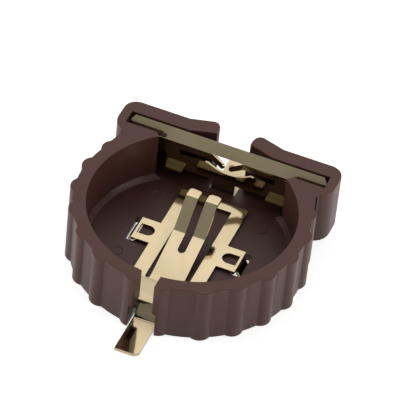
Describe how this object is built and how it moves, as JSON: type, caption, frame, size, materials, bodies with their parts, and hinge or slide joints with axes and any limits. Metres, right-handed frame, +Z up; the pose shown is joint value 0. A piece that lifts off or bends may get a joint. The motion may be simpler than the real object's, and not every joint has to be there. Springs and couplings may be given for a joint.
{
  "type": "coin cell holder",
  "caption": "Surface-mount coin cell holder: ribbed round cup, hooked ears, windowed rear contact and split-spring floor contact.",
  "frame": {"origin": "centre of the round cell pocket, on the board face", "axes": "+Z up from the board, +Y from the pocket towards the two ears, +X along the ears"},
  "size_m": [0.0156, 0.0195, 0.0041],
  "materials": {
    "moulded_plastic": "moulded, satin",
    "rear_contact_sheet": "plated, bright",
    "floor_contact_sheet": "plated, bright"
  },
  "bodies": {
    "root": {"housing": "moulded_plastic", "positive_contact": "rear_contact_sheet", "negative_contact": "floor_contact_sheet"}
  },
  "joints": []
}
